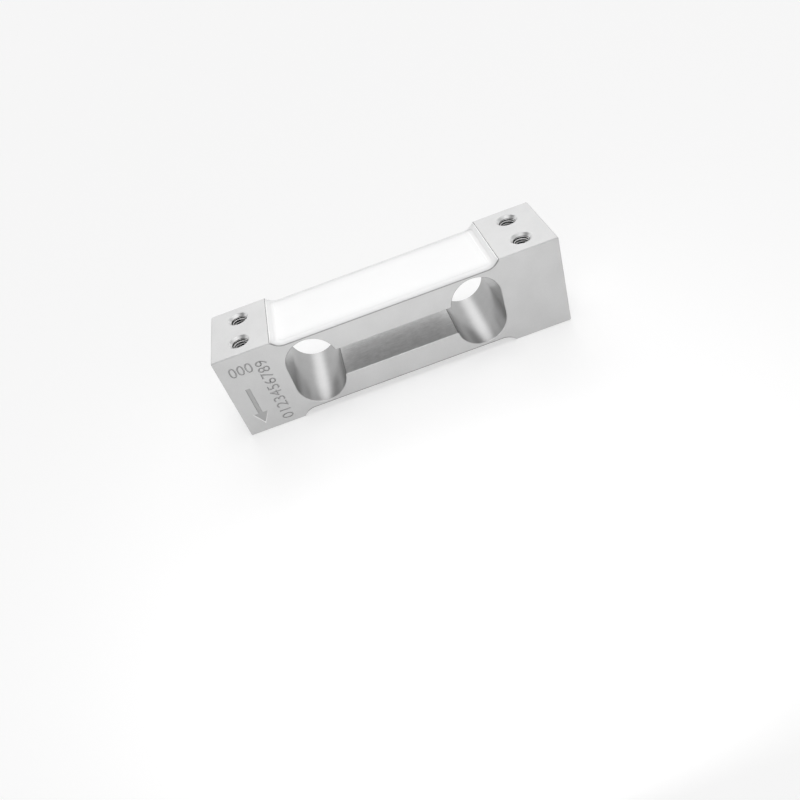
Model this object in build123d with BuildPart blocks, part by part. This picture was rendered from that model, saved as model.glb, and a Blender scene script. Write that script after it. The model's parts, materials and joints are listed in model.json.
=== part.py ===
import os
from math import acos, degrees, sqrt

from build123d import *

# Single point load cell, millimetres. X runs along the beam from the live end to the fixed end,
# Y from the marked front face to the back, Z up. The origin is under the middle, on the base plane.

# Spring element: a bar of aluminium alloy with a raised pad at each end
beam_length = 130.0
beam_width = 33.0
beam_height = 36.0
pad_length = 22.0
recess_depth = 3.0
recess_end_radius = 5.5
edge_break = 0.35

# Flexure: two obround bores joined by a channel, with a thin section over and under each bore.
# The inset is from the edge of a pad to the axis of its bore.
bore_inset = 11.2
bore_radius = 9.5
flexure_thickness = 0.8
channel_height = 11.6
channel_corner_break = 0.35
bore_edge_break = 0.2

# Tapped holes in the pads, drilled through and countersunk at both faces.
# The inset is from the end of the beam to the holes.
hole_inset = 11.0
hole_spacing_y = 16.0
tap_drill_radius = 2.5
countersink_radius = 4.0
countersink_angle = 90.0

# Wiring pocket in the back of the fixed end, and the cable inlet in its end face
pocket_length = 12.5
pocket_height = 22.0
pocket_depth = 3.8
pocket_corner_radius = 3.0
inlet_length = 7.0
inlet_radius = 2.2
inlet_back_wall = 1.1
inlet_edge_break = 0.4

# Silicone covers
cover_thickness = 0.8
cover_end_radius = 6.2
cover_lip = 0.4
cover_end_drop = 0.25
cover_rim_width = 1.4
cover_rim_height = 0.65
wire_clearance = 0.08

# Foil strain gauges and solder terminal strips
film_thickness = 0.10
foil_thickness = 0.05
film_margin = 0.8
grid_length = 4.0
grid_pitch = 0.5
grid_line_width = 0.3
grid_line_count = 6
tab_size = 1.6
tab_gap = 0.5
strip_center_x = 12.0
strip_center_y = 9.0
strip_pad_pitch = 3.6
strip_pad_width = 2.2
strip_pad_height = 2.4

# Wires and leads
fine_wire_radius = 0.12
fine_wire_bend = 2.0
fine_wire_offset = 1.2
lead_radius = 0.2
lead_pitch = 0.55
lead_bend = 1.5
lead_drop_bend = 0.35
duct_radius = 1.2
duct_back_wall = 0.75
duct_mouth_inset = 2.7

# Compensation board with its resistors
board_thickness = 0.6
board_gap = 0.6
landing_inset_x = 4.0
landing_inset_z = 4.6
landing_pitch = 1.3
resistor_length = 3.2
resistor_width = 1.6
resistor_thickness = 0.55
resistor_cap_length = 0.5
resistor_cap_step = 0.05
resistor_pitch = 4.2
potting_recess = 0.2

# Heights and places that follow from the sizes above
half_length = beam_length / 2
half_width = beam_width / 2
half_height = beam_height / 2
pad_edge_x = half_length - pad_length
floor_half_height = half_height - recess_depth
bore_x = pad_edge_x - bore_inset
hole_x = half_length - hole_inset
bore_height = 2 * (floor_half_height - flexure_thickness)
run_out_angle = degrees(acos(1 - recess_depth / recess_end_radius))
run_out_length = sqrt(recess_end_radius**2 - (recess_end_radius - recess_depth) ** 2)
floor_z = half_height + floor_half_height
stack_z = floor_z + film_thickness + foil_thickness
side_plane = Plane(origin=(0, 0, half_height), x_dir=(1, 0, 0), z_dir=(0, -1, 0))
middle_plane = Plane.XY.offset(half_height)
back_plane = Plane.XZ.offset(-half_width)
pocket_right = half_length - inlet_length
pocket_left = pocket_right - pocket_length
pocket_center_x = pocket_right - pocket_length / 2
pocket_floor_y = half_width - pocket_depth
inlet_y = half_width - inlet_back_wall - inlet_radius
duct_y = half_width - duct_back_wall - duct_radius

os.makedirs("parts", exist_ok=True)


def finish(piece, name):
    """Labels a finished piece and writes it."""
    piece.part.label = name
    export_step(piece.part, f"parts/{name}.step")


def finish_both_faces(upper, name):
    """Writes a piece of the top face, and its mirror image for the bottom face."""
    with BuildPart() as lower:
        mirror(upper.part, about=middle_plane)
    finish(upper, f"top_{name}")
    finish(lower, f"bottom_{name}")


# Duct line: from the middle of the recess's end run-out down to the board in the pocket
lead_z = stack_z + lead_radius
duct_mouth = Vector(pad_edge_x - duct_mouth_inset, duct_y, lead_z)
landing = Vector(
    pocket_left + landing_inset_x,
    duct_y,
    half_height + pocket_height / 2 - landing_inset_z,
)
duct_direction = (landing - duct_mouth).normalized()
duct_start = duct_mouth - duct_direction * recess_depth
duct_length = (landing - duct_start).length

# Spring element
with BuildPart() as spring_element:
    with BuildSketch(side_plane):
        with BuildLine():
            recess_floor = Line((0, floor_half_height), (pad_edge_x - run_out_length, floor_half_height))
            run_out = JernArc(recess_floor @ 1, (1, 0), recess_end_radius, run_out_angle)
            pad_top = Line(run_out @ 1, (half_length, half_height))
            Line(pad_top @ 1, (half_length, 0))
            mirror(about=Plane.XZ)
            mirror(about=Plane.YZ)
        make_face()
    extrude(amount=half_width, both=True)
    pad_faces = spring_element.faces().filter_by(Axis.Z).group_by(Axis.Z)
    pad_edges = pad_faces[0].edges() + pad_faces[-1].edges()
    inner_edges = pad_edges.filter_by(Axis.Y).sort_by(lambda edge: abs(edge.center().X))[:4]
    end_edges = spring_element.edges().filter_by(Axis.Z)
    chamfer([edge for edge in pad_edges + end_edges if edge not in inner_edges], length=edge_break)
    with BuildSketch(side_plane) as cut_out:
        with Locations((-bore_x, 0), (bore_x, 0)):
            SlotOverall(bore_height, 2 * bore_radius, rotation=90)
        Rectangle(2 * bore_x, channel_height)
        channel_corners = cut_out.vertices().sort_by(lambda corner: abs(corner.X))[:4]
        chamfer(channel_corners, length=channel_corner_break)
    extrude(amount=half_width, both=True, mode=Mode.SUBTRACT)
    side_faces = spring_element.faces().filter_by(Axis.Y).group_by(SortBy.AREA)[-1]
    opening_wires = [wire for face in side_faces for wire in face.inner_wires()]
    chamfer([edge for wire in opening_wires for edge in wire.edges()], length=bore_edge_break)
    with Locations(Plane.XY.offset(beam_height), Plane.XY.rotated((180, 0, 0))):
        with GridLocations(2 * hole_x, hole_spacing_y, 2, 2):
            CounterSinkHole(
                tap_drill_radius,
                countersink_radius,
                depth=half_height,
                counter_sink_angle=countersink_angle,
            )
    with BuildSketch(back_plane):
        with Locations((pocket_center_x, half_height)):
            RectangleRounded(pocket_length, pocket_height, pocket_corner_radius)
    extrude(amount=pocket_depth, mode=Mode.SUBTRACT)
    with Locations(Plane.YZ.offset(half_length)):
        with Locations((inlet_y, half_height)):
            CounterSinkHole(
                inlet_radius,
                inlet_radius + inlet_edge_break,
                depth=inlet_length,
                counter_sink_angle=countersink_angle,
            )
    with BuildSketch(Plane(origin=duct_start, z_dir=duct_direction)):
        Circle(duct_radius)
    duct = extrude(amount=duct_length, mode=Mode.SUBTRACT)
    mirror(duct, about=middle_plane, mode=Mode.SUBTRACT)
finish(spring_element, "spring_element")

# Strain gauges: a serpentine foil grid with two tabs, on a film carrier bonded over each thin section
grid_half_width = (grid_line_count - 1) * grid_pitch / 2
grid_end_x = grid_length / 2
tab_center_x = grid_end_x + tab_gap + tab_size / 2
carrier_left = -grid_end_x - grid_line_width - film_margin
carrier_right = tab_center_x + tab_size / 2 + film_margin
carrier_half_width = max(grid_half_width + grid_line_width / 2, fine_wire_offset + tab_size / 2) + film_margin


def gauge_plane(side, height):
    """A plane over a bore's crown with its X axis towards the middle of the beam."""
    return Plane(origin=(side * bore_x, 0, height), x_dir=(-side, 0, 0), z_dir=(0, 0, 1))


def make_carrier(side):
    """The film under one gauge."""
    with BuildPart() as carrier:
        with BuildSketch(gauge_plane(side, floor_z)):
            with Locations(((carrier_left + carrier_right) / 2, 0)):
                RectangleRounded(carrier_right - carrier_left, 2 * carrier_half_width, film_margin / 2)
        extrude(amount=film_thickness)
    return carrier


def make_grid(side):
    """The foil: parallel lines joined by end loops in turn, and a tab at each end of the run."""
    line_rows = [index * grid_pitch - grid_half_width for index in range(grid_line_count)]
    with BuildPart() as grid:
        with BuildSketch(gauge_plane(side, floor_z + film_thickness)):
            for index, row in enumerate(line_rows[:-1]):
                with Locations((0, row)):
                    Rectangle(grid_length, grid_line_width)
                loop_end = 1 if index % 2 else -1
                with Locations((loop_end * (grid_end_x + grid_line_width / 2), row + grid_pitch / 2)):
                    Rectangle(grid_line_width, grid_pitch + grid_line_width)
            with Locations((0, line_rows[-1])):
                Rectangle(grid_length, grid_line_width)
            for row, tab_row in ((line_rows[0], -fine_wire_offset), (line_rows[-1], fine_wire_offset)):
                with Locations((grid_end_x + tab_gap / 2, row)):
                    Rectangle(tab_gap, grid_line_width)
                with Locations((tab_center_x, tab_row)):
                    Rectangle(tab_size, tab_size)
        extrude(amount=foil_thickness)
    return grid


side_names = {-1: "left", 1: "right"}
carriers = {side: make_carrier(side) for side in side_names}
grids = {side: make_grid(side) for side in side_names}
for side, side_name in side_names.items():
    finish_both_faces(carriers[side], f"{side_name}_gauge_carrier")
    finish_both_faces(grids[side], f"{side_name}_gauge_grid")

# Solder terminal strip, with three copper pads: one for each outer gauge wire and a shared one
pad_positions = [(strip_center_x + step * strip_pad_pitch, strip_center_y) for step in (-1, 0, 1)]
strip_length = 2 * strip_pad_pitch + strip_pad_width + 2 * film_margin
strip_height = strip_pad_height + 2 * film_margin
with BuildPart() as strip:
    with BuildSketch(Plane.XY.offset(floor_z)):
        with Locations((strip_center_x, strip_center_y)):
            RectangleRounded(strip_length, strip_height, film_margin / 2)
    extrude(amount=film_thickness)
finish_both_faces(strip, "terminal_strip")
with BuildPart() as strip_pads:
    with BuildSketch(Plane.XY.offset(floor_z + film_thickness)):
        with Locations(pad_positions):
            Rectangle(strip_pad_width, strip_pad_height)
    extrude(amount=foil_thickness)
finish_both_faces(strip_pads, "terminal_pads")


def make_wire(points, bends, radius):
    """A round wire along straight runs joined by tangent arcs."""
    with BuildPart() as wire:
        with BuildLine() as route:
            FilletPolyline(*points, radius=bends)
        with BuildSketch(Plane(origin=route.wire() @ 0, z_dir=route.wire() % 0)):
            Circle(radius)
        sweep(path=route.wire())
    return wire


# Fine wires: from each gauge tab along the recess, then across to the near half of a terminal pad
fine_z = stack_z + fine_wire_radius
wire_end_y = strip_center_y - strip_pad_height / 4
fine_routes = {}
for side, side_name in side_names.items():
    tab_x = side * (bore_x - tab_center_x)
    pad_xs = (strip_center_x + side * strip_pad_pitch, strip_center_x + side * strip_pad_width / 4)
    for number, (row, pad_x) in enumerate(zip((fine_wire_offset, -fine_wire_offset), pad_xs), start=1):
        fine_routes[f"{side_name}_gauge_wire_{number}"] = [(tab_x, row), (pad_x, row), (pad_x, wire_end_y)]
for wire_name, route in fine_routes.items():
    fine_points = [(x, y, fine_z) for x, y in route]
    finish_both_faces(make_wire(fine_points, [fine_wire_bend], fine_wire_radius), wire_name)

# Leads: from the far half of each terminal pad to the back of the recess, along it as a flat bundle,
# down the duct and onto the board, where the lane nearest the board lands first
board_face_y = pocket_floor_y + board_thickness
lead_start_y = strip_center_y + strip_pad_height / 4
lead_routes = []
leads = []
for step, (pad_x, _) in zip((1, 0, -1), pad_positions):
    lane_y = duct_y + step * lead_pitch
    end_point = landing + duct_direction * step * landing_pitch
    lead_routes.append([(pad_x, lead_start_y), (pad_x, lane_y), (duct_mouth.X, lane_y)])
    lead_points = [(x, y, lead_z) for x, y in lead_routes[-1]]
    lead_points += [(end_point.X, y, end_point.Z) for y in (lane_y, board_face_y)]
    leads.append(make_wire(lead_points, [lead_bend, lead_bend, lead_drop_bend], lead_radius))
for number, lead in enumerate(leads, start=1):
    finish_both_faces(lead, f"lead_{number}")

# Compensation board, glued to the pocket's floor, in the pocket's outline less an even gap
board_length = pocket_length - 2 * board_gap
board_height = pocket_height - 2 * board_gap
board_plane = Plane.XZ.offset(-pocket_floor_y)
with BuildPart() as compensation_board:
    with BuildSketch(board_plane):
        with Locations((pocket_center_x, half_height)):
            RectangleRounded(board_length, board_height, pocket_corner_radius - board_gap)
    extrude(amount=-board_thickness)
finish(compensation_board, "compensation_board")

# Chip resistors in a column beside the landing places of the leads
resistor_names = ["input_resistor", "zero_resistor", "span_resistor_1", "span_resistor_2"]
resistor_x = pocket_right - board_gap - resistor_width
resistors = []
for index, resistor_name in enumerate(resistor_names):
    resistor_z = half_height + (index - (len(resistor_names) - 1) / 2) * resistor_pitch
    with BuildPart() as resistor:
        with BuildSketch(Plane.XZ.offset(-board_face_y)):
            with Locations((resistor_x, resistor_z)):
                Rectangle(resistor_width, resistor_length)
        extrude(amount=-(resistor_thickness - resistor_cap_step))
        with BuildSketch(Plane.XZ.offset(-board_face_y)):
            with Locations((resistor_x, resistor_z)):
                with GridLocations(1, resistor_length - resistor_cap_length, 1, 2):
                    Rectangle(resistor_width, resistor_cap_length)
        extrude(amount=-resistor_thickness)
    resistors.append(resistor)
    finish(resistor, resistor_name)

# Silicone that fills the pocket round the board, its parts and the ends of the leads
with BuildPart() as pocket_potting:
    with BuildSketch(board_plane):
        with Locations((pocket_center_x, half_height)):
            RectangleRounded(pocket_length, pocket_height, pocket_corner_radius)
    extrude(amount=-(pocket_depth - potting_recess))
    add(compensation_board.part, mode=Mode.SUBTRACT)
    for resistor in resistors:
        add(resistor.part, mode=Mode.SUBTRACT)
    for lead in leads:
        add(lead.part, mode=Mode.SUBTRACT)
        mirror(lead.part, about=middle_plane, mode=Mode.SUBTRACT)
finish(pocket_potting, "pocket_potting")

# Silicone cover: it lies on the recess floor and climbs the run-out, to end a little below the pads
cover_half_height = floor_half_height + cover_thickness
cover_climb = recess_depth - cover_end_drop
under_angle = degrees(acos(1 - cover_climb / recess_end_radius))
under_length = sqrt(recess_end_radius**2 - (recess_end_radius - cover_climb) ** 2)
cover_end_x = pad_edge_x - run_out_length + under_length
cover_rise = cover_climb - cover_thickness
cover_arc_length = sqrt(cover_end_radius**2 - (cover_end_radius - cover_rise) ** 2)
cover_angle = degrees(acos(1 - cover_rise / cover_end_radius))
cover_run_x = cover_end_x - cover_lip - cover_arc_length
over_z = half_height + cover_half_height
with BuildPart() as rim_cut:
    with BuildLine(side_plane) as rim_path:
        over_run = Line((0, cover_half_height), (cover_run_x, cover_half_height))
        over_turn = JernArc(over_run @ 1, (1, 0), cover_end_radius, cover_angle)
        Line(over_turn @ 1, over_turn @ 1 + over_turn % 1 * cover_lip)
    with BuildSketch(Plane.YZ):
        with BuildLine():
            rim_foot_z = over_z - cover_rim_height
            crown = EllipticalCenterArc(
                (half_width - cover_rim_width, rim_foot_z), cover_rim_width, cover_rim_height, 0, arc_size=90
            )
            Polyline(
                crown @ 1,
                (half_width - cover_rim_width, over_z + cover_rim_height),
                (half_width + cover_rim_width, over_z + cover_rim_height),
                (half_width + cover_rim_width, rim_foot_z),
                crown @ 0,
            )
        make_face()
    sweep(path=rim_path.wire())
    mirror(about=Plane.YZ)
    mirror(about=Plane.XZ)
film_places = [(side * (bore_x - (carrier_left + carrier_right) / 2), 0) for side in side_names]
groove_radius = fine_wire_radius + wire_clearance
bundle_radius = lead_radius + wire_clearance
with BuildPart() as cover:
    with BuildSketch(side_plane):
        with BuildLine():
            under = Line((0, floor_half_height), (pad_edge_x - run_out_length, floor_half_height))
            under_arc = JernArc(under @ 1, (1, 0), recess_end_radius, under_angle)
            over = Line((0, cover_half_height), (cover_run_x, cover_half_height))
            over_arc = JernArc(over @ 1, (1, 0), cover_end_radius, cover_angle)
            Line(under_arc @ 1, over_arc @ 1)
            mirror(about=Plane.YZ)
        make_face()
    extrude(amount=half_width, both=True)
    add(rim_cut.part, mode=Mode.SUBTRACT)
    with BuildSketch(Plane.XY.offset(floor_z)):
        with Locations(film_places):
            RectangleRounded(carrier_right - carrier_left, 2 * carrier_half_width, film_margin / 2)
        with Locations((strip_center_x, strip_center_y)):
            RectangleRounded(strip_length, strip_height, film_margin / 2)
    extrude(amount=film_thickness + foil_thickness, mode=Mode.SUBTRACT)
    with BuildSketch(Plane.XY.offset(floor_z)):
        for route in fine_routes.values():
            with BuildLine():
                FilletPolyline(*route, radius=fine_wire_bend)
            trace(line_width=2 * groove_radius)
    extrude(amount=fine_z - floor_z + groove_radius, mode=Mode.SUBTRACT)
    with BuildSketch(Plane.XY.offset(floor_z)):
        for route in lead_routes:
            with BuildLine():
                FilletPolyline(*route, radius=lead_bend)
            trace(line_width=2 * bundle_radius)
        bundle_left = pad_positions[-1][0]
        bundle_right = duct_mouth.X + duct_radius
        with Locations(((bundle_left + bundle_right) / 2, duct_y)):
            Rectangle(bundle_right - bundle_left, 2 * (lead_pitch + bundle_radius))
    extrude(amount=lead_z - floor_z + bundle_radius, mode=Mode.SUBTRACT)
finish_both_faces(cover, "cover")
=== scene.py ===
import json
from math import pi, radians, sqrt

import bmesh
import bpy
from mathutils import Matrix, Vector


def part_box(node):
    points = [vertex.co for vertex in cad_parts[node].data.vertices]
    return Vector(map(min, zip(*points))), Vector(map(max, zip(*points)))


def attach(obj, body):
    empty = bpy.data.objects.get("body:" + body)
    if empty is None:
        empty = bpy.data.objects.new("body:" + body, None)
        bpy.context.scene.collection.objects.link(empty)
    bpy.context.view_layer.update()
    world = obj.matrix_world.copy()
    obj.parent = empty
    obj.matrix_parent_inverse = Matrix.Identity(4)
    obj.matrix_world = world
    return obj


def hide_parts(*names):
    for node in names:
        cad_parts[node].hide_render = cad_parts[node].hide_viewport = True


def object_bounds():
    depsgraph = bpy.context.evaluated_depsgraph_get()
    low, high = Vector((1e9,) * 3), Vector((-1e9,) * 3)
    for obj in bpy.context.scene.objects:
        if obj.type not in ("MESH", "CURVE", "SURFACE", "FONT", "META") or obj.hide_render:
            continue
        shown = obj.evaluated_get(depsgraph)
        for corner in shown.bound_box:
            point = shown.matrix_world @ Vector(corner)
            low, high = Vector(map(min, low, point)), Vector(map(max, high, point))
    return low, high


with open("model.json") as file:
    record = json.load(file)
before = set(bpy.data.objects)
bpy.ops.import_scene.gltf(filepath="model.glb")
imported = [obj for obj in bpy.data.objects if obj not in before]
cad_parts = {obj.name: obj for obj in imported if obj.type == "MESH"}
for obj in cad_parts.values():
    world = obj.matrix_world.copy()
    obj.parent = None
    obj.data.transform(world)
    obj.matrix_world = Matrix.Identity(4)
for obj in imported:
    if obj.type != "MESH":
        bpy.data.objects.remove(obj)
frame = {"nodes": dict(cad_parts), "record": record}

cad_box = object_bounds()

# Camera: it looks down on the marked front face from a little left of the middle, and is rolled so
# that the beam climbs to the right. Places are in millimetres, as everywhere below.
mm = 0.001
camera_place = (-1.4, -230.4, 165.0)
camera_aim = (-6.1, -49.0, 18.0)
camera_roll = -20.9
camera_near = 10.0


def add_object(name, data):
    """Puts a camera, a mesh, a text or a lamp into the scene."""
    made = bpy.data.objects.new(name, data)
    bpy.context.scene.collection.objects.link(made)
    return made


def looking(place, aim):
    """The matrix of a camera or a lamp at a place, turned to look at an aim."""
    place, aim = Vector(place) * mm, Vector(aim) * mm
    return Matrix.Translation(place) @ (aim - place).to_track_quat("-Z", "Y").to_matrix().to_4x4()


camera = add_object("camera", bpy.data.cameras.new("camera"))
bpy.context.scene.camera = camera
camera.data.lens = 31.75
camera.data.sensor_width = 36.0
camera.data.clip_start = camera_near * mm
camera.matrix_world = looking(camera_place, camera_aim) @ Matrix.Rotation(radians(camera_roll), 4, "Z")

# Spring element: one bar of aluminium alloy, milled all over and blasted to an even satin. The two
# flexure bores and the channel between them go through from front to back and keep the cutter's
# finish, shinier in the bores, whose tone is painted darker than the skin's as shade. The countersinks
# over the tapped holes are turned bright, and their upright walls carry a painted highlight.
front_y = cad_box[0].y / mm
beam_height = cad_box[1].z / mm
middle_z = beam_height / 2
openings = {each["name"]: each["box_m"] for each in frame["record"]["physics"]["openings"]}
bore_x = sum(corner[0] for corner in openings["right_flexure_bore"]) / 2 / mm
bore_radius = 9.5
bore_half_height = 14.2
channel_half_height = 5.8
countersink_radius = 4.0
pad_edge_x = 43.0
shade_line_width = 0.4
shade_line_depth = 0.8
corner_break = 0.45
side_margin = 0.1
height_margin = 0.05
edge_angle = 28
merge_distance = 0.0005

# The share of a face's normal along an axis that tells an upright, a level or a front face, and the
# range that tells a broken corner.
upright_lean = 0.1
level_lean = 0.9
front_lean = 0.5
broken_lean_low = 0.2
broken_lean_high = 0.95


class Signal:
    """One output of a finish's nodes. Arithmetic on it adds Math nodes."""

    def __init__(self, finish, socket):
        self.finish = finish
        self.socket = socket

    def math(self, operation, *values):
        return self.finish.node("Math", {"operation": operation}, dict(enumerate(values)))

    def __add__(self, other):
        return self.math("ADD", self, other)

    def __sub__(self, other):
        return self.math("SUBTRACT", self, other)

    def __rsub__(self, other):
        return self.math("SUBTRACT", other, self)

    def __mul__(self, other):
        return self.math("MULTIPLY", self, other)

    def __pow__(self, other):
        return self.math("POWER", self, other)

    __radd__ = __add__
    __rmul__ = __mul__


class Finish:
    """The nodes of one material, or of the world."""

    def __init__(self, owner):
        owner.use_nodes = True
        self.owner = owner
        self.tree = owner.node_tree
        self.tree.nodes.clear()

    def node(self, kind, settings=None, sockets=None, output=0):
        """Adds a node with its settings and the values or links of its sockets, and gives one output."""
        made = self.tree.nodes.new("ShaderNode" + kind)
        for name, value in (settings or {}).items():
            setattr(made, name, value)
        for name, value in (sockets or {}).items():
            if isinstance(value, Signal):
                self.tree.links.new(value.socket, made.inputs[name])
            else:
                made.inputs[name].default_value = value
        return Signal(self, made.outputs[output]) if made.outputs else None

    def noise(self, scale, detail=2.0, stretch=(1, 1, 1)):
        """Noise from 0 to 1 round 0.5 on the piece, with its scale in features to the metre."""
        point = self.node("TexCoord", output="Object")
        point = self.node("Mapping", {"vector_type": "POINT"}, {"Vector": point, "Scale": stretch})
        return self.node("TexNoise", {}, {"Vector": point, "Scale": scale, "Detail": detail})

    def ramp(self, signal, low, high):
        """A signal taken from low and high to 0 and 1."""
        return self.node("MapRange", {}, {0: signal, 1: low, 2: high, 3: 0.0, 4: 1.0})

    def blend(self, factor, low, high):
        """A colour between two, each of them written or a signal."""
        low, high = (each if isinstance(each, Signal) else (*each, 1) for each in (low, high))
        return self.node("Mix", {"data_type": "RGBA"}, {"Factor": factor, 6: low, 7: high}, output=2)

    def shade(self, tone, roughness, height, metallic=1.0):
        """Ends the nodes in a shader with a colour, a roughness and a height in millimetres."""
        bump = self.node("Bump", {}, {"Height": height, "Distance": mm})
        sockets = {"Base Color": tone, "Roughness": roughness, "Metallic": metallic, "Normal": bump}
        self.node("OutputMaterial", {}, {"Surface": self.node("BsdfPrincipled", {}, sockets)})
        return self.owner


def grey(tone):
    return (tone, tone, tone)


def grained_finish(name, scale, low, high, roughness, height, detail=2.0, spread=0.1, metallic=1.0):
    """A finish with one grain, which varies its tone and its roughness and gives its height."""
    finish = Finish(bpy.data.materials.new(name))
    grain = finish.noise(scale, detail)
    tone = finish.blend(grain, low, high)
    return finish.shade(tone, grain * spread + roughness, grain * height, metallic)


# The blasted skin has a fine even grain and faint clouds. The bores have the boring bar's feed marks
# round them, the channel the cloudy marks of a long end mill.
skin = Finish(bpy.data.materials.new("blasted_aluminium"))
skin_grain = skin.noise(scale=3600.0, detail=3.0)
skin_cloud = skin.noise(scale=110.0, detail=3.0)
skin_mottle = skin.ramp(skin_cloud * 0.5 + skin_grain * 0.5, low=0.3, high=0.7)
blasted_finish = skin.shade(
    tone=skin.blend(skin_mottle, low=grey(0.53), high=grey(0.59)),
    roughness=skin_grain * 0.1 + 0.45,
    height=skin_grain * 0.014,
)
# Painted shade: the bores' tone is set well below the blasted skin's, to darken them as shade inside;
# the feed marks and mottle are the metal's own.
bore_skin = Finish(bpy.data.materials.new("bored_aluminium_painted_shade"))
feed_marks = bore_skin.noise(scale=7000.0, detail=1.0, stretch=(0.03, 1, 0.03))
bore_cloud = bore_skin.noise(scale=260.0, detail=3.0)
bore_speck = bore_skin.noise(scale=2600.0)
bore_mottle = bore_skin.ramp(bore_cloud * 0.5 + bore_speck * 0.5, low=0.35, high=0.65)
bored_and_shaded_finish = bore_skin.shade(
    tone=bore_skin.blend(bore_mottle, low=grey(0.37), high=grey(0.41)),
    roughness=bore_cloud * 0.06 + 0.27,
    height=feed_marks * 0.003,
)
channel_skin = Finish(bpy.data.materials.new("milled_aluminium"))
mill_marks = channel_skin.noise(scale=2400.0, detail=3.0, stretch=(0.15, 1, 1))
channel_cloud = channel_skin.noise(scale=420.0, detail=4.0)
channel_mottle = channel_skin.ramp(channel_cloud * 0.6 + mill_marks * 0.4, low=0.35, high=0.65)
milled_finish = channel_skin.shade(
    tone=channel_skin.blend(channel_mottle, low=grey(0.49), high=grey(0.63)),
    roughness=channel_cloud * 0.16 + 0.38,
    height=mill_marks * 0.012 + channel_cloud * 0.03,
)
turned_finish = grained_finish(
    "turned_aluminium", 2800.0, grey(0.71), grey(0.81), roughness=0.33, height=0.003, spread=0.08
)
# Painted highlight: the thread crests and the upward flanks near them get a near-white, non-metallic
# tone that stands in for the light they catch.
crest_highlight_finish = grained_finish(
    "crest_painted_highlight", 2200.0, grey(0.90), grey(0.96), roughness=0.40, height=0.004, metallic=0.0
)
# Painted shade: the thread grooves and reliefs are near black, standing in for the shade deep in the
# thread.
thread_shade_finish = grained_finish(
    "tapped_aluminium_painted_shade", 2200.0, grey(0.02), grey(0.04), roughness=0.7, height=0.004, spread=0.2
)
engraved_finish = grained_finish(
    "engraved_aluminium", 4200.0, grey(0.38), grey(0.46), roughness=0.45, height=0.016, detail=3.0
)
# Painted shade: a dark line on the run-out faces where the cover meets the pads, and on the broken
# corners between the bores and the channel.
shade_line_finish = grained_finish("painted_shade_line", 3600.0, grey(0.22), grey(0.32), roughness=0.5, height=0.01)
element_finishes = [
    blasted_finish,
    bored_and_shaded_finish,
    milled_finish,
    turned_finish,
    crest_highlight_finish,
    thread_shade_finish,
    engraved_finish,
    shade_line_finish,
]
blasted, bored_and_shaded, milled, turned, crest_highlight, thread_shade, engraved, shade_line = range(len(element_finishes))


def load_copy(node_name):
    """A copy of a CAD node's mesh with its doubles merged."""
    copy = bmesh.new()
    copy.from_mesh(frame["nodes"][node_name].data)
    bmesh.ops.remove_doubles(copy, verts=copy.verts, dist=merge_distance * mm)
    return copy


def take_mesh(name, source):
    """Makes a mesh of a bmesh, which is freed."""
    mesh = bpy.data.meshes.new(name)
    source.to_mesh(mesh)
    source.free()
    return mesh


def evaluated_mesh(carrier):
    """The mesh that a text, or a piece with its modifiers, comes to."""
    bpy.context.view_layer.update()
    return bpy.data.meshes.new_from_object(carrier.evaluated_get(bpy.context.evaluated_depsgraph_get()))


def add_piece(name, source, finishes, replaced):
    """Makes a piece of a bmesh in the place of a CAD node, riding on the one body."""
    mesh = take_mesh(name, source)
    if "custom_normal" in mesh.attributes:
        mesh.attributes.remove(mesh.attributes["custom_normal"])
    for finish in finishes:
        mesh.materials.append(finish)
    piece = add_object(name, mesh)
    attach(piece, "root")
    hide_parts(replaced)
    return piece


def smooth_between_edges(mesh, angle):
    """Shades a mesh smooth, but for the edges that turn by more than an angle in degrees."""
    mesh.polygons.foreach_set("use_smooth", [True] * len(mesh.polygons))
    mesh.set_sharp_from_angle(angle=radians(angle))


hole_places = []
for mount in frame["record"]["mounts"]:
    if mount["kind"] == "bolt_pattern":
        half_spacing = mount["dims"]["spacing_y_mm"] / 2
        for side in (-1, 1):
            hole_places.append((mount["pos_m"][0] / mm, side * half_spacing, mount["axis"][2]))


def face_finish(face):
    """Which finish a face of the bar has, from where it lies and which way it looks."""
    centre = face.calc_center_median() / mm
    from_middle = abs(centre.z - middle_z)
    lean_x, lean_y, lean_z = (abs(part) for part in face.normal)
    for hole_x, hole_y, way in hole_places:
        from_axis = sqrt((centre.x - hole_x) ** 2 + (centre.y - hole_y) ** 2)
        if from_axis < countersink_radius and lean_z < level_lean:
            # Upright walls within the countersinks get the painted highlight, the cones the turned
            # finish.
            return crest_highlight if lean_z < upright_lean else turned
    # The run-out faces just above the cover's edge get a painted shade line.
    at_pad_edge = pad_edge_x - shade_line_width < abs(centre.x) < pad_edge_x
    if at_pad_edge and from_middle > middle_z - shade_line_depth and upright_lean < lean_z < level_lean:
        return shade_line
    # The broken corners between the bores and the channel get the same painted shade line.
    from_corner = max(abs(bore_x - abs(centre.x) - bore_radius), abs(from_middle - channel_half_height))
    on_broken_corner = broken_lean_low < lean_x < broken_lean_high and lean_y < front_lean
    if from_corner < corner_break and on_broken_corner:
        return shade_line
    if lean_y > front_lean or abs(centre.y) > -front_y:
        return blasted
    in_channel = abs(centre.x) < bore_x and from_middle < channel_half_height + height_margin
    if in_channel and lean_z > level_lean:
        return milled
    # The bore walls get the bored finish, whose darker tone is painted shade.
    in_bore = abs(abs(centre.x) - bore_x) < bore_radius + side_margin
    if in_bore and from_middle < bore_half_height + height_margin:
        return bored_and_shaded
    return blasted


bar = load_copy("spring_element")
for face in bar.faces:
    face.material_index = face_finish(face)

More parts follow.
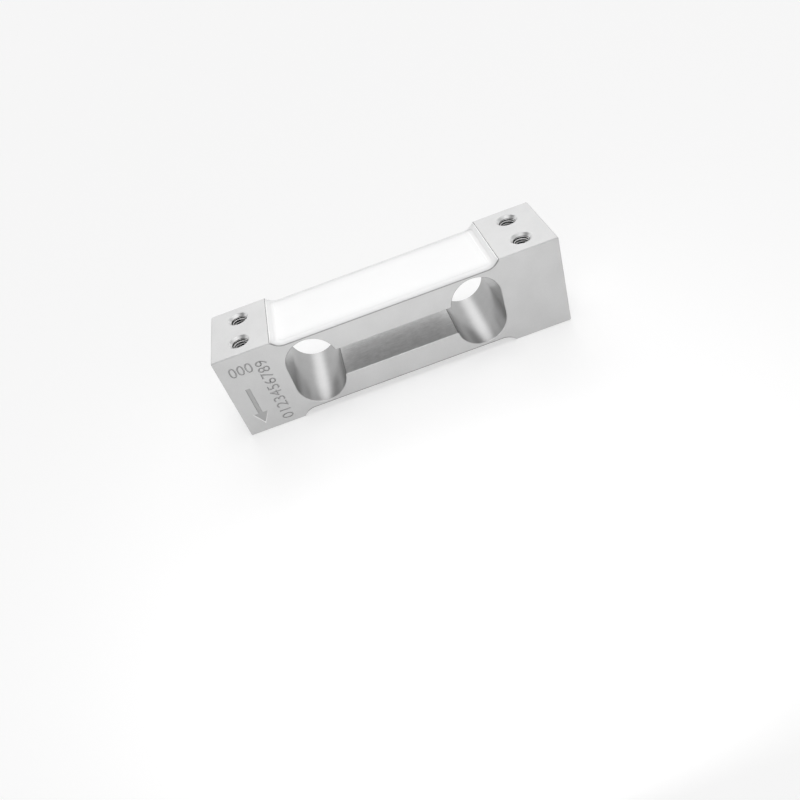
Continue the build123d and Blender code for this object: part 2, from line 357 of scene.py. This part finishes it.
# Threads: M6, cut by a tap from the countersunk faces down to a few turns past the screw's reach. Each
# starts in a relief as wide as the thread, and its groove is one coil with a V section. The flanks that
# look up carry a painted highlight near the crest, and the rest of the groove and the reliefs are
# painted near black as shade.
thread_radius = 3.0
thread_pitch = 1.0
thread_length = 16.0
thread_rise = 0.4
thread_steps = 40
groove_inner_radius = 2.3
groove_mouth = 0.96
groove_root = 0.14
crest_flank_radius = 2.66
flank_lean = 0.5
relief_radius = 3.05
relief_depth = 1.05
relief_segments = 96

coil = bmesh.new()
flank_part = (crest_flank_radius - groove_inner_radius) / (thread_radius - groove_inner_radius)
flank_z = groove_mouth / 2 - flank_part * (groove_mouth - groove_root) / 2
section = [
    coil.verts.new((groove_inner_radius, 0, -groove_mouth / 2)),
    coil.verts.new((crest_flank_radius, 0, -flank_z)),
    coil.verts.new((thread_radius, 0, -groove_root / 2)),
    coil.verts.new((thread_radius, 0, groove_root / 2)),
    coil.verts.new((groove_inner_radius, 0, groove_mouth / 2)),
]
start = coil.faces.new(section)
turns = int(thread_length / thread_pitch)
bmesh.ops.spin(
    coil,
    geom=[start, *start.edges, *start.verts],
    cent=(0, 0, 0),
    axis=(0, 0, 1),
    dvec=(0, 0, thread_pitch / thread_steps),
    angle=2 * pi * turns,
    steps=turns * thread_steps,
    use_merge=False,
    use_duplicate=False,
)
bmesh.ops.recalc_face_normals(coil, faces=coil.faces)
# The upward flanks near the crest get the painted highlight, the rest of the groove the painted shade.
for face in coil.faces:
    near_crest = face.calc_center_median().xy.length < crest_flank_radius
    face.material_index = crest_highlight if near_crest and face.normal.z < -flank_lean else thread_shade
coil_mesh = take_mesh("coil", coil)

grooves = bmesh.new()
reliefs = bmesh.new()
for hole_x, hole_y, way in hole_places:
    before = len(grooves.verts)
    grooves.from_mesh(coil_mesh)
    grooves.verts.ensure_lookup_table()
    mouth_z = beam_height + thread_rise if way > 0 else thread_length - thread_rise
    place = (hole_x, hole_y, mouth_z - thread_length)
    bmesh.ops.translate(grooves, verts=grooves.verts[before:], vec=place)
    bmesh.ops.create_cone(
        reliefs,
        cap_ends=True,
        segments=relief_segments,
        radius1=relief_radius,
        radius2=relief_radius,
        depth=2 * relief_depth,
        matrix=Matrix.Translation((hole_x, hole_y, beam_height if way > 0 else 0)),
    )
# The reliefs are painted near black as shade.
for face in reliefs.faces:
    face.material_index = thread_shade
bpy.data.meshes.remove(coil_mesh)

# Engraving on the front face of the live end: an arrow for the direction of the load, and plain digits
# in place of words. A fine pointed cutter has sunk them to one even depth, with sloping walls. The
# arrow's lower walls, which look up, get the bright turned finish as a painted highlight.
mark_depth = 0.25
mark_proud = 0.6
arrow_slope = 0.2
arrow_x = -57.7
arrow_shaft = 1.75
arrow_top_z = 20.9
arrow_neck_z = 8.9
arrow_head = 6.0
arrow_tip_z = 3.6
highlight_wall_lean = 0.3
sloping_wall_lean = 0.1
digit_slope = 0.15
digit_height = 4.4
digit_merge_distance = 0.001
digit_resolution = 4
rating_text = "000"
rating_foot = (-60.9, 27.2)
rating_length = 8.7
row_text = "0123456789"
row_foot = (-46.6, 2.3)
row_length = 28.4

marks = bmesh.new()


def sink(faces, slope):
    """Extrudes flat marks on the front face into cutters, with sloping walls below the face."""
    walls = bmesh.ops.extrude_face_region(marks, geom=faces)
    raised = [part for part in walls["geom"] if isinstance(part, bmesh.types.BMVert)]
    bmesh.ops.translate(marks, verts=raised, vec=(0, -mark_proud, 0))
    bmesh.ops.inset_region(marks, faces=faces, thickness=slope, use_boundary=True, use_even_offset=True)
    sunk = {vert for face in faces for vert in face.verts}
    bmesh.ops.translate(marks, verts=list(sunk), vec=(0, mark_depth, 0))


def add_digits(text, foot, length, turned_up):
    """Adds digits to the marks, from a foot in X and Z, along +X, or along +Z when turned up."""
    curve = bpy.data.curves.new("digits", "FONT")
    curve.body = text
    curve.resolution_u = digit_resolution
    carrier = add_object("digits", curve)
    mesh = evaluated_mesh(carrier)
    bpy.data.objects.remove(carrier)
    bpy.data.curves.remove(curve)
    flat = bmesh.new()
    flat.from_mesh(mesh)
    bpy.data.meshes.remove(mesh)
    bmesh.ops.remove_doubles(flat, verts=flat.verts, dist=digit_merge_distance)
    low = Vector(min(vert.co[axis] for vert in flat.verts) for axis in range(3))
    high = Vector(max(vert.co[axis] for vert in flat.verts) for axis in range(3))
    for vert in flat.verts:
        along = (vert.co.x - low.x) / (high.x - low.x) * length
        up = (vert.co.y - low.y) / (high.y - low.y) * digit_height
        if turned_up:
            vert.co = (foot[0] - up, front_y, foot[1] + along)
        else:
            vert.co = (foot[0] + along, front_y, foot[1] + up)
    mesh = take_mesh("digits", flat)
    before = len(marks.faces)
    marks.from_mesh(mesh)
    bpy.data.meshes.remove(mesh)
    marks.faces.ensure_lookup_table()
    sink(marks.faces[before:], digit_slope)


arrow_outline = [
    (-arrow_shaft / 2, arrow_top_z),
    (-arrow_shaft / 2, arrow_neck_z),
    (-arrow_head / 2, arrow_neck_z),
    (0, arrow_tip_z),
    (arrow_head / 2, arrow_neck_z),
    (arrow_shaft / 2, arrow_neck_z),
    (arrow_shaft / 2, arrow_top_z),
]
arrow_verts = [marks.verts.new((arrow_x + x, front_y, z)) for x, z in arrow_outline]
sink([marks.faces.new(arrow_verts)], arrow_slope)
add_digits(rating_text, rating_foot, rating_length, turned_up=False)
add_digits(row_text, row_foot, row_length, turned_up=True)
bmesh.ops.recalc_face_normals(marks, faces=marks.faces)
for face in marks.faces:
    centre = face.calc_center_median()
    on_arrow = centre.x < arrow_x + arrow_head and centre.z < arrow_top_z + mark_proud
    # The arrow's walls that look up in the bar get the bright turned finish as a painted highlight.
    highlight_wall = face.normal.z < -highlight_wall_lean and face.normal.y > sloping_wall_lean
    face.material_index = turned if on_arrow and highlight_wall else engraved

spring_element = add_piece(
    "spring_element_finished", bar, element_finishes, "spring_element"
)
for cutters in (reliefs, grooves, marks):
    bmesh.ops.scale(cutters, verts=cutters.verts, vec=(mm, mm, mm))
    cutter = add_object("cutters", take_mesh("cutters", cutters))
    for finish in element_finishes:
        cutter.data.materials.append(finish)
    cut = spring_element.modifiers.new("cut", "BOOLEAN")
    cut.object = cutter
    cut.operation = "DIFFERENCE"
    cut.solver = "MANIFOLD"
    cut_mesh = evaluated_mesh(spring_element)
    spring_element.modifiers.clear()
    spring_element.data = cut_mesh
    bpy.data.objects.remove(cutter)
smooth_between_edges(spring_element.data, edge_angle)

# Covers: white silicone poured into each recess over the gauges. It has set with a soft rim along its
# edges and up the run-outs, with a shallow dip inside the rim. Its tone greys towards the front and back
# edges and the ends: the metal shows through where it truly thins, and the rest is painted shade on the
# rim. The line of its foot along the front and back edges is painted dark as shade.
recess_floor_z = 33.0
run_out_radius = 5.5
run_out_x = 38.1
dip_start = 1.3
dip_end = 3.3
dip_slope = 0.5
dip_depth = 0.2
dip_corner = 4.0
dip_cut = 0.15
foot_shade_height = 0.5
foot_shade_y = 16.0
foot_shade_fade = 0.1
thin_from_x, thin_to_x = 38.0, 43.0
thin_from_y, thin_to_y = 9.5, 16.5
thin_and_shaded_end_share = 0.35
thin_and_shade_share = 0.85
wave_share = 0.1
thick_tone = (0.94, 0.94, 0.94)
thin_and_shaded_tone = (0.72, 0.72, 0.725)
foot_shade_tone = grey(0.26)
cover_lean = 0.2
cover_edge_angle = 32

silicone = Finish(bpy.data.materials.new("white_silicone"))
silicone_wave = silicone.noise(scale=120.0)
silicone_grain = silicone.noise(scale=5000.0)
silicone_point = silicone.node("TexCoord", output="Object")
along, across, up = (silicone.node("SeparateXYZ", {}, {0: silicone_point}, axis) for axis in range(3))
from_centre = [each.math("ABSOLUTE", each) for each in (along, across, up - middle_z * mm)]
# Greyer towards the front and back edges and the ends: painted shade on the rim, and the metal showing
# through where the silicone thins.
thin_and_shaded_sides = silicone.ramp(from_centre[1], thin_from_y * mm, thin_to_y * mm)
thin_and_shaded_ends = silicone.ramp(from_centre[0], thin_from_x * mm, thin_to_x * mm) * thin_and_shaded_end_share
thinness_and_shade = thin_and_shaded_sides.math("MAXIMUM", thin_and_shaded_sides, thin_and_shaded_ends)
up_run_out = from_centre[0] - run_out_x * mm
up_run_out = up_run_out.math("MAXIMUM", up_run_out, 0.0)
below_centre = (recess_floor_z + run_out_radius - middle_z) * mm - from_centre[2]
over_metal = run_out_radius * mm - (up_run_out * up_run_out + below_centre * below_centre) ** 0.5
# Painted shade: a dark line where the cover's foot meets the metal along the front and back edges.
foot_shade = silicone.ramp(over_metal, foot_shade_height * mm, foot_shade_height / 2 * mm)
foot_shade = foot_shade * silicone.ramp(from_centre[1], (foot_shade_y - foot_shade_fade) * mm, (foot_shade_y + foot_shade_fade) * mm)
silicone_tone = silicone.blend(
    thinness_and_shade * thinness_and_shade * thin_and_shade_share + silicone_wave * wave_share, thick_tone, thin_and_shaded_tone
)
silicone_finish = silicone.shade(
    tone=silicone.blend(foot_shade, silicone_tone, foot_shade_tone),
    roughness=silicone_grain * 0.1 + 0.34,
    height=silicone_wave * 0.05 + silicone_grain * 0.001,
    metallic=0.0,
)


def cut_across(source, place, normal):
    """Cuts a bmesh's faces along a plane through a place."""
    geometry = [*source.verts, *source.edges, *source.faces]
    bmesh.ops.bisect_plane(source, geom=geometry, plane_co=Vector(place) * mm, plane_no=normal)


def dip_inside_rim(cover, way, half_length, half_width):
    """Lowers a band of a cover's outer face inside its rim, with smooth slopes and round corners."""
    for cut in range(1, round(dip_corner / dip_cut) + 1):
        inset = cut * dip_cut
        for side in (-1, 1):
            cut_across(cover, (side * (half_length - inset), 0, 0), (1, 0, 0))
            cut_across(cover, (0, side * (half_width - inset), 0), (0, 1, 0))
    cover.normal_update()
    for vert in cover.verts:
        if all(face.normal.z * way > cover_lean for face in vert.link_faces):
            from_end = half_length - abs(vert.co.x) / mm
            from_side = half_width - abs(vert.co.y) / mm
            round_x, round_y = max(dip_corner - from_end, 0), max(dip_corner - from_side, 0)
            inset = dip_corner - sqrt(round_x**2 + round_y**2)
            part = min(max(min(inset - dip_start, dip_end - inset) / dip_slope, 0), 1)
            smooth_part = part * part * (3 - 2 * part)
            vert.co.z -= way * dip_depth * mm * smooth_part


for name, way in (("top_cover", 1), ("bottom_cover", -1)):
    cover = load_copy(name)
    low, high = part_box(name)
    dip_inside_rim(cover, way, high[0] / mm, high[1] / mm)
    piece = add_piece(name + "_finished", cover, [silicone_finish], name)
    smooth_between_edges(piece.data, cover_edge_angle)

# Potting: the same silicone, poured into the wiring pocket in the back face over the board. It stands
# highest where it wets the pocket's walls, and has sunk a little between them.
meniscus_width = 3.0
meniscus_depth = 0.25
meniscus_cut = 0.3
cuts_past_meniscus = 3
pocket_corner_radius = 3.0

potting_silicone = Finish(bpy.data.materials.new("potting_silicone"))
potting_wave = potting_silicone.noise(scale=160.0)
potting_grain = potting_silicone.noise(scale=5000.0)
potting_finish = potting_silicone.shade(
    tone=potting_silicone.blend(potting_wave, low=(0.86, 0.86, 0.855), high=(0.93, 0.93, 0.925)),
    roughness=potting_grain * 0.1 + 0.32,
    height=potting_wave * 0.10 + potting_grain * 0.001,
    metallic=0.0,
)
potting = load_copy("pocket_potting")
low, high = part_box("pocket_potting")
half_size = [(high[axis] - low[axis]) / 2 / mm for axis in (0, 2)]
middle = [(high[axis] + low[axis]) / 2 / mm for axis in (0, 2)]
for axis, normal in enumerate(((1, 0, 0), (0, 0, 1))):
    for cut in range(round(meniscus_width / meniscus_cut) + cuts_past_meniscus):
        for side in (-1, 1):
            place = [0, 0, 0]
            place[axis * 2] = middle[axis] + side * (half_size[axis] - cut * meniscus_cut)
            cut_across(potting, place, normal)
potting.normal_update()
for vert in potting.verts:
    if all(face.normal.y > level_lean for face in vert.link_faces):
        from_side = [half_size[i] - abs(vert.co[i * 2] / mm - middle[i]) for i in (0, 1)]
        round_x, round_z = (max(pocket_corner_radius - inset, 0) for inset in from_side)
        inset = pocket_corner_radius - sqrt(round_x**2 + round_z**2)
        part = 1 - min(max(inset / meniscus_width, 0), 1)
        vert.co.y -= meniscus_depth * mm * (1 - part**3)
piece = add_piece(
    "pocket_potting_finished", potting, [potting_finish], "pocket_potting"
)
smooth_between_edges(piece.data, cover_edge_angle)

# Inner pieces: the strain gauges' films and foils, the terminal strips, wires and leads, and the board
# with its resistors. They are glued or soldered in place under the silicone, and keep their CAD shapes.
# Each finish has a tone, a roughness and how metallic it is.
inner_tones = {
    "gauge_film": ((0.55, 0.34, 0.10), 0.4, 0.0),
    "gauge_foil": ((0.62, 0.58, 0.50), 0.35, 1.0),
    "copper": ((0.75, 0.42, 0.28), 0.35, 1.0),
    "lead_red": ((0.55, 0.04, 0.03), 0.4, 0.0),
    "lead_white": ((0.8, 0.8, 0.78), 0.4, 0.0),
    "lead_black": ((0.03, 0.03, 0.03), 0.4, 0.0),
    "circuit_board": ((0.03, 0.22, 0.10), 0.35, 0.0),
    "resistor": ((0.05, 0.05, 0.05), 0.4, 0.0),
}
darker, lighter = 0.85, 1.15
slot_of = {each["node"]: each["material_slot"] for each in frame["record"]["subparts"]}
inner_finishes = {"white_silicone": silicone_finish, "machined_aluminium": blasted_finish}
for slot_name, (tone, roughness, metallic) in inner_tones.items():
    low, high = [part * darker for part in tone], [min(part * lighter, 1) for part in tone]
    inner_finishes[slot_name] = grained_finish(
        slot_name, 1500.0, low, high, roughness, height=0.004, detail=3.0, metallic=metallic
    )
for name, node in frame["nodes"].items():
    node.data.materials.clear()
    node.data.materials.append(inner_finishes[slot_of[name]])

# Floor: a plain white sheet, wide enough to fill the view. What the camera and the metal see of it is
# partly its own white, so that the shadow on it stays soft and light.
floor_size = 12000.0
floor_gap = 0.05
floor_tone = (0.96, 0.96, 0.96, 1)
floor_white = 0.5
pure_white = (1, 1, 1, 1)


def seen_directly(finish):
    """1 where the camera or the metal looks at a surface, and 0 where it only passes light on."""
    seen = finish.node("LightPath", output="Is Camera Ray")
    seen = seen + finish.node("LightPath", output="Is Glossy Ray")
    seen = seen + finish.node("LightPath", output="Is Transmission Ray")
    return seen.math("MINIMUM", seen, 1.0)


floor = Finish(bpy.data.materials.new("floor"))
paper = floor.node("BsdfDiffuse", {}, {"Color": floor_tone})
white = floor.node("Emission", {}, {"Color": pure_white, "Strength": 1.0})
share = seen_directly(floor) * floor_white
floor_surface = floor.node("MixShader", {}, {0: share, 1: paper, 2: white})
floor.node("OutputMaterial", {}, {"Surface": floor_surface})
sheet = bmesh.new()
bmesh.ops.create_grid(sheet, x_segments=1, y_segments=1, size=floor_size / 2 * mm)
ground = add_object("floor", take_mesh("floor", sheet))
ground.data.materials.append(floor.owner)
ground.location.z = -floor_gap * mm

# Light: a plain studio. White walls stand all round, up to the height where the soft lights begin, and
# only the camera and the metal see them. The object is lit by soft lights overhead and behind it, and
# by one round lamp in front.
wall_top = 0.60
wall_fade = 0.47
lamp_place = (0, -150, 75)
lamp_aim = (0, 0, 18)
lamp_size = 130
lamp_power = 0.095

# Each soft light has the direction it comes from, its strength and how narrow it is.
soft_lights = {
    "overhead": ((0, 0, 1), 4.25, 14),
    "overhead_right": ((0.5, 0, 0.87), 0.8, 14),
    "window_left": ((-0.12, 0.76, 0.64), 2.1, 24),
    "window_right": ((0.3, 0.76, 0.57), 2.0, 24),
    "low_behind": ((0, 1, 0.18), 2.6, 14),
}

world = bpy.data.worlds.new("room")
bpy.context.scene.world = world
room = Finish(world)
room_direction = room.node("TexCoord", output="Generated")
wall = room.ramp(room.node("SeparateXYZ", {}, {0: room_direction}, 2), wall_top, wall_fade)
wall = wall * seen_directly(room)


def soft_light(towards, strength, narrowness):
    """A round soft light in the room, brightest in the middle of a direction."""
    sockets = {0: room_direction, 1: Vector(towards).normalized()}
    facing = room.node("VectorMath", {"operation": "DOT_PRODUCT"}, sockets, "Value")
    return facing.math("MAXIMUM", facing, 0.0) ** narrowness * strength


light = sum(soft_light(*each) for each in soft_lights.values())
background = room.node("Background", {}, {"Color": pure_white, "Strength": light * (1 - wall) + wall})
room.node("OutputWorld", {}, {"Surface": background})
lamp = add_object("front_lamp", bpy.data.lights.new("front_lamp", "AREA"))
lamp.data.shape = "DISK"
lamp.data.size = lamp_size * mm
lamp.data.energy = lamp_power
lamp.matrix_world = looking(lamp_place, lamp_aim)
lamp.visible_camera = False
bpy.context.scene.view_settings.view_transform = "Standard"
